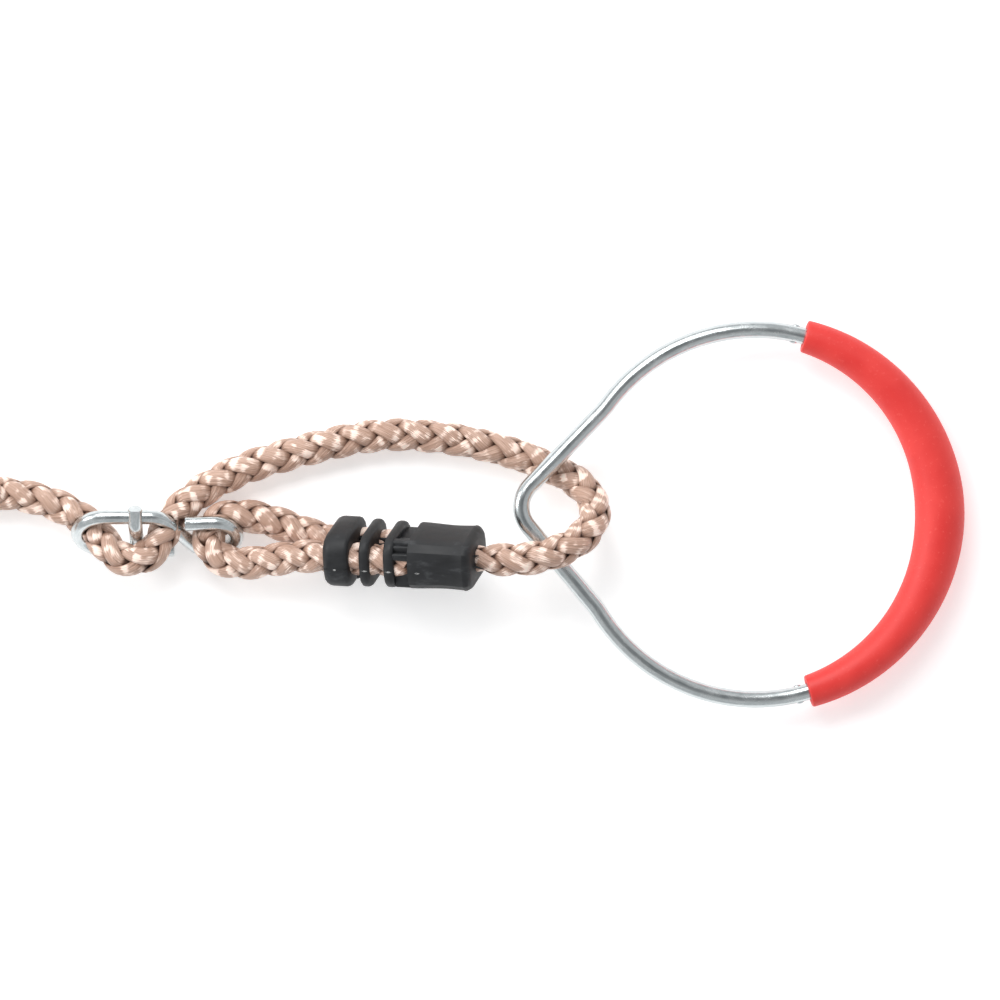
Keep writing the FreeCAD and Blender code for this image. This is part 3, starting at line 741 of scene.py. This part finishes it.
# %% The ring's bending list
ROD = 3.0
CIRCLE = 64.6
half_moves = [("bend", CIRCLE, 144.84), ("bend", 30.0, -7.55), ("run", 35.556)]
ring_moves = half_moves + [("bend", 10.5, 84.0)] + [
    half_moves[2], half_moves[1], half_moves[0]
]
start_turn = math.radians(0.71)
start = (CIRCLE * math.cos(start_turn), CIRCLE * math.sin(start_turn))
rod_shape, rod_line = bend_bar(ROD, start, 90.71, ring_moves)
print("the bar ends", round((rod_line[-1] - rod_line[0]).length, 2), "mm from its start")

# %% Where the ring lies
GRIP_R, GRIP_END_R = 8.7, 5.7
EYE_HEIGHT = 17.0
slope = math.asin((EYE_HEIGHT - GRIP_R) / (CIRCLE + 72.6))
RING = Matrix.Translation((82.8, 0.2, GRIP_R + CIRCLE * math.sin(slope)))
RING = RING @ Matrix.Rotation(math.radians(-2.05), 4, "Z") @ Matrix.Rotation(slope, 4, "Y")


def on_circle(angle, radius=CIRCLE):
    turn = math.radians(angle)
    return Vector((radius * math.cos(turn), radius * math.sin(turn), 0))


# %% Stakes on the bar
close_ends(rod_shape, rod_line, 0.3, Matrix.Scale(1 / MM, 4))
GRIP_TURN, STAKE_ANGLE, STAKE_OUT = 2.7, 77.2, 2.55
for side in (GRIP_TURN - STAKE_ANGLE, GRIP_TURN + STAKE_ANGLE):
    for face in (-STAKE_OUT, STAKE_OUT):
        squash = Matrix.Translation(on_circle(side, CIRCLE + face)) @ Matrix.Rotation(
            math.radians(side), 4, "Z"
        ) @ Matrix.Diagonal((0.75, 1.25, 1.0, 1))
        bmesh.ops.create_icosphere(rod_shape, subdivisions=3, radius=1.3, matrix=squash)
bmesh.ops.transform(rod_shape, matrix=Matrix.Scale(MM, 4) @ RING, verts=rod_shape.verts[:])
finish_piece("ring_bar", rod_shape, "hand_ring", "rod_zinc", rod_zinc, "ring_rod")

# %% Weld finish
weld_finish = Finish("weld_bead", Metallic=1.0, Roughness=0.4)
place = weld_finish.place()
ripple = weld_finish.noise(place, 700.0, detail=3.0)
weld_finish.join(
    weld_finish.ramp(ripple, [(0.3, (0.40, 0.42, 0.43, 1)), (0.7, (0.62, 0.64, 0.65, 1))]),
    weld_finish.shader.inputs["Base Color"],
)
weld_finish.join(weld_finish.bump(ripple, 0.5, 0.2 * MM), weld_finish.shader.inputs["Normal"])
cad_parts["rod_weld"].data.materials.clear()
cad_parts["rod_weld"].data.materials.append(weld_finish.material)
print("weld finished")

# %% [markdown]
# ## The grip
# Soft red plastic is moulded round the bar, thickest in its middle and slimmer at
# both ends, which are eased so that they don't cut a hand. A circle spun along the
# ring makes it, and each section is then scaled about the bar to its own thickness.

# %% Spin the grip
GRIP_HALF = 74.3
CROWN = 12.0  # over how many degrees the thick middle stays round
grip_shape = bmesh.new()
facing = Matrix.Translation(on_circle(GRIP_TURN - GRIP_HALF)) @ Matrix.Rotation(
    math.radians(GRIP_TURN - GRIP_HALF), 4, "Z"
) @ Matrix.Rotation(math.radians(90), 4, "X")
bmesh.ops.create_circle(grip_shape, segments=40, radius=1.0, matrix=facing)
bmesh.ops.spin(
    grip_shape, geom=grip_shape.edges[:], cent=(0, 0, 0), axis=(0, 0, 1),
    angle=math.radians(2 * GRIP_HALF), steps=72, use_duplicate=False,
)


def grip_radius(angle):
    fall = math.hypot(angle, CROWN) - CROWN
    whole = math.hypot(GRIP_HALF, CROWN) - CROWN
    return GRIP_R - (GRIP_R - GRIP_END_R) * fall / whole


for corner in grip_shape.verts:
    angle = math.degrees(math.atan2(corner.co.y, corner.co.x))
    middle = on_circle(angle)
    corner.co = middle + (corner.co - middle) * grip_radius(angle - GRIP_TURN)
print("grip spun with", len(grip_shape.verts), "corners")

# %% Ease the grip's ends
rims = [edge for edge in grip_shape.edges if edge.is_boundary]
caps = bmesh.ops.edgeloop_fill(grip_shape, edges=rims)["faces"]
bmesh.ops.inset_region(grip_shape, faces=caps, thickness=2.4, use_even_offset=True)
for cap in caps:
    way = cap.normal.copy()
    bmesh.ops.translate(grip_shape, verts=cap.verts[:], vec=-way * 0.9)
rims = [edge for edge in grip_shape.edges if len(edge.link_faces) == 2
        and edge.calc_face_angle(0) > math.radians(60)]
bmesh.ops.bevel(
    grip_shape, geom=rims, offset=0.9, segments=4, profile=0.5, affect="EDGES", material=-1
)
bmesh.ops.recalc_face_normals(grip_shape, faces=grip_shape.faces[:])
bmesh.ops.transform(grip_shape, matrix=Matrix.Scale(MM, 4) @ RING, verts=grip_shape.verts[:])
print("eased", len(rims), "edges at the grip's ends")

# %% Grip finish
grip_finish = Finish("red_grip_plastic", Roughness=0.5)
place = grip_finish.place()
speck = grip_finish.noise(place, 900.0, detail=4.0, rough=0.6)
cloud = grip_finish.noise(place, 60.0, detail=3.0)
red = grip_finish.ramp(
    grip_finish.spread(cloud, 0.0, 1.0),
    [(0.0, (0.77, 0.034, 0.030, 1)), (1.0, (0.88, 0.055, 0.046, 1))],
)
dusty = grip_finish.ramp(speck, [(0.60, (0, 0, 0, 1)), (0.72, (0.05, 0.035, 0.03, 1))])
grip_finish.join(grip_finish.blend("ADD", 1.0, red, dusty), grip_finish.shader.inputs["Base Color"])
grip_finish.join(grip_finish.spread(cloud, 0.44, 0.58), grip_finish.shader.inputs["Roughness"])
grip_finish.join(grip_finish.bump(speck, 0.35, 0.12 * MM), grip_finish.shader.inputs["Normal"])
finish_piece("red_grip", grip_shape, "hand_ring", "grip_plastic", grip_finish, "grip")

# %% [markdown]
# ## The moulded clamp
# Black plastic is moulded round two legs of rope. It has three ribs with slots
# between them, where the rope shows, and a longer sleeve with a slight waist. Each
# block is a cube whose long corners and ends are rounded. A little plastic ran out of
# the mould along the rope, and pale diamonds mark where its two halves met.


# %% One block of the clamp
CLAMP_WIDE, CLAMP_TALL, CLAMP_CORNER = 20.0, 27.6, 6.8


def cut_block(start, length, share, waist=0.0):
    shape = bmesh.new()
    size = Matrix.Diagonal((length, CLAMP_WIDE * share, CLAMP_TALL * share, 1))
    middle = Matrix.Translation((start + length / 2, 0, 0))
    bmesh.ops.create_cube(shape, size=1.0, matrix=middle @ size)
    long_edges = [e for e in shape.edges if abs(e.verts[0].co.x - e.verts[1].co.x) > length / 2]
    bmesh.ops.bevel(
        shape, geom=long_edges, offset=CLAMP_CORNER * share, segments=3, profile=0.5,
        affect="EDGES", material=-1,
    )
    if waist:
        long_edges = [e for e in shape.edges if abs(e.verts[0].co.x - e.verts[1].co.x) > length / 2]
        bmesh.ops.subdivide_edges(shape, edges=long_edges, cuts=7, use_grid_fill=True)
        for corner in shape.verts:
            part = (corner.co.x - start) / length
            slim = 1 - waist * math.sin(math.pi * min(part / 1.15, 1.0)) ** 2
            corner.co.y *= slim
            corner.co.z *= slim
    return shape


def round_edges(shape, edges, ease, segments=3):
    bmesh.ops.bevel(
        shape, geom=edges, offset=ease, segments=segments, profile=0.5, affect="EDGES",
        clamp_overlap=True, material=-1,
    )


def ease_edges(shape, ease, least=25.0):
    """Round every edge that turns by more than the least angle."""
    round_edges(shape, [e for e in shape.edges if e.calc_face_angle(0) > math.radians(least)], ease)


def round_end(shape, side, ease):
    """Round the rim of the face at one end."""
    ends = [face for face in shape.faces if face.normal.x * side > 0.9]
    round_edges(shape, list({edge for face in ends for edge in face.edges}), ease, 5)


def plain_box(low, high, ease=0.5):
    box = bmesh.new()
    size = Matrix.Diagonal((*[top - bottom for bottom, top in zip(low, high)], 1))
    middle = Matrix.Translation([(top + bottom) / 2 for bottom, top in zip(low, high)])
    bmesh.ops.create_cube(box, size=1.0, matrix=middle @ size)
    ease_edges(box, ease)
    return box


print("the widest block is", CLAMP_WIDE, "by", CLAMP_TALL, "mm")


# %% Between the ribs
def cores():
    """A core that joins the ribs, and the walls and the cover of the third slot."""
    slot_start, slot_end = 25.0, 31.6
    return [
        plain_box((8.0, -4.4, -9.6), (31.0, 4.4, -2.5)),
        plain_box((8.0, -3.0, -2.5), (31.0, 3.0, 3.0)),
        plain_box((slot_start, 5.9, 6.2), (slot_end, 8.9, 9.3), 0.7),
        plain_box((slot_start, -8.4, -9.5), (slot_end, 6.6, 3.0), 0.7),
        plain_box((slot_start, 2.6, 2.0), (slot_end, 5.2, 12.2), 0.7),
        plain_box((slot_start, 4.4, 2.0), (slot_end, 7.4, 10.4), 0.7),
        plain_box((slot_start, -8.2, -9.0), (slot_end, -2.6, 10.6), 0.9),
    ]


def scuff(at):
    """A pale little diamond where the mould's two halves met."""
    shape = bmesh.new()
    pale = shape.verts.layers.float.new("pale")
    flat = Matrix.Translation(at) @ Matrix.Diagonal((1.25, 0.45, 1.0, 1))
    bmesh.ops.create_cone(
        shape, cap_ends=True, segments=4, radius1=1.0, radius2=0.35, depth=0.16, matrix=flat
    )
    for corner in shape.verts:
        corner[pale] = 1.0
    return shape


def flash(start, end, thick):
    """A sliver of plastic that ran out of the mould along the rope."""
    shape = bmesh.new()
    along = Vector(end) - Vector(start)
    way = Matrix.Translation((Vector(start) + Vector(end)) / 2)
    way = way @ along.to_track_quat("Z", "Y").to_matrix().to_4x4()
    bmesh.ops.create_cone(
        shape, cap_ends=True, segments=10, radius1=thick, radius2=0.12, depth=along.length,
        matrix=way,
    )
    return shape


# %% The whole clamp
SEAM = -1.35  # where the mould's two halves met


def make_clamp(name, place, node):
    """Three ribs, what joins them, and the sleeve, put at its place in metres."""
    first = cut_block(0.0, 9.4, 1.0)
    round_end(first, -1, 2.8)
    ease_edges(first, 2.1)
    blocks = [first]
    for start, length, share in ((13.2, 3.6, 0.965), (21.9, 3.8, 0.945)):
        rib = cut_block(start, length, share)
        round_end(rib, 1, 1.5)
        ease_edges(rib, 1.2)
        blocks.append(rib)
    sleeve = cut_block(30.8, 22.2, 0.93, waist=0.045)
    round_end(sleeve, 1, 4.0)
    ease_edges(sleeve, 2.2)
    blocks += [
        sleeve,
        plain_box((0.9, SEAM - 0.1, 12.0), (9.0, SEAM + 0.1, 13.88), 0.05),
        plain_box((32.0, SEAM - 0.1, 11.0), (49.0, SEAM + 0.1, 12.42), 0.05),
        flash((51.0, -0.4, 4.9), (56.2, -1.8, 4.9), 0.8),
        flash((51.5, 2.6, 4.4), (54.6, 3.1, 4.6), 0.8),
        flash((11.5, -5.6, 9.2), (14.0, -4.6, 9.6), 0.6),
    ]
    for along, up in ((4.7, 13.82), (15.2, 13.32), (23.9, 13.06), (34.0, 12.78)):
        blocks.append(scuff((along, SEAM, up)))
    whole = bmesh.new()
    whole.verts.layers.float.new("pale")
    for block in blocks + cores():
        mesh = bpy.data.meshes.new("block")
        bmesh.ops.recalc_face_normals(block, faces=block.faces[:])
        block.to_mesh(mesh)
        block.free()
        whole.from_mesh(mesh)
        bpy.data.meshes.remove(mesh)
    bmesh.ops.transform(whole, matrix=Matrix.Scale(MM, 4) @ place, verts=whole.verts[:])
    return finish_piece(name, whole, "rope_work", "clamp_plastic", clamp_finish, node, sharp=50)


# %% Clamp finish
clamp_finish = Finish("black_moulded_plastic", Roughness=0.5, Specular_IOR_Level=0.38)
place = clamp_finish.place()
grain = clamp_finish.noise(place, 2200.0, detail=3.0, rough=0.6)
smear = clamp_finish.noise(place, 130.0, (1, 2.2, 1), detail=4.0, rough=0.6)
black = clamp_finish.ramp(
    clamp_finish.spread(smear, 0.0, 1.0),
    [(0.0, (0.010, 0.0105, 0.0115, 1)), (0.7, (0.020, 0.021, 0.023, 1)),
     (1.0, (0.048, 0.050, 0.053, 1))],
)
pale = clamp_finish.node("ShaderNodeAttribute", attribute_name="pale").outputs["Fac"]
chipped = clamp_finish.blend("MULTIPLY", 1.0, pale, clamp_finish.ramp(
    grain, [(0.38, (0.05, 0.05, 0.05, 1)), (0.52, (0.42, 0.42, 0.41, 1))]
))
clamp_finish.join(
    clamp_finish.blend("ADD", 1.0, black, chipped), clamp_finish.shader.inputs["Base Color"]
)
clamp_finish.join(clamp_finish.spread(smear, 0.42, 0.62), clamp_finish.shader.inputs["Roughness"])
clamp_finish.join(clamp_finish.bump(grain, 0.3, 0.08 * MM), clamp_finish.shader.inputs["Normal"])
make_clamp("black_rope_clamp", CLAMP, "rope_clamp")
top_clamp = make_clamp("black_top_clamp", TOP_CLAMP, "top_clamp")

# %% [markdown]
# ## Ties round the coil
# A short woven tie holds the put-away turns together. It is a ring of corners pulled
# out to the tie's width and given its thickness.

# %% Tie finish
tie_finish = Finish("woven_tie", Roughness=0.8)
place = tie_finish.place()
thread = tie_finish.noise(place, 1500.0)
tie_finish.join(
    tie_finish.ramp(thread, [(0.3, (0.018, 0.018, 0.02, 1)), (0.7, (0.06, 0.06, 0.066, 1))]),
    tie_finish.shader.inputs["Base Color"],
)
tie_finish.join(tie_finish.bump(thread, 0.6, 0.2 * MM), tie_finish.shader.inputs["Normal"])
print("tie finish has", len(tie_finish.tree.nodes), "nodes")

# %% Two ties
TIE_WIDE = 14.0


def make_tie(name, angle, node):
    """A band round the turns of rope that lie side by side at this angle."""
    first = COIL_START + COIL_PITCH * ((angle - 270) % 360) / 360
    band = bmesh.new()
    flat = Matrix.Rotation(math.radians(90), 4, "X")
    bmesh.ops.create_circle(band, segments=40, radius=6.2, matrix=flat)
    outer = [corner for corner in band.verts if corner.co.x > 0]
    inner = [corner for corner in band.verts if corner.co.x <= 0]
    bmesh.ops.translate(band, verts=outer, vec=(COIL_PITCH - 1.2, 0, 0))
    bmesh.ops.translate(band, verts=inner, vec=(-0.2, 0, 0))
    made = bmesh.ops.extrude_edge_only(band, edges=band.edges[:])["geom"]
    pulled = [item for item in made if isinstance(item, bmesh.types.BMVert)]
    bmesh.ops.translate(band, verts=pulled, vec=(0, TIE_WIDE, 0))
    bmesh.ops.recalc_face_normals(band, faces=band.faces[:])
    bmesh.ops.solidify(band, geom=band.faces[:], thickness=-0.7)
    bmesh.ops.recalc_face_normals(band, faces=band.faces[:])
    place = Matrix.Translation((COIL_X, COIL_Y, COIL_Z))
    place = place @ Matrix.Rotation(math.radians(angle), 4, "Z")
    place = Matrix.Scale(MM, 4) @ place @ Matrix.Translation((first, -TIE_WIDE / 2, 0))
    bmesh.ops.transform(band, matrix=place, verts=band.verts[:])
    return finish_piece(name, band, "rope_work", "tie_webbing", tie_finish, node)


make_tie("upper_tie", 50, "coil_tie_upper")
make_tie("lower_tie", 305, "coil_tie_lower")
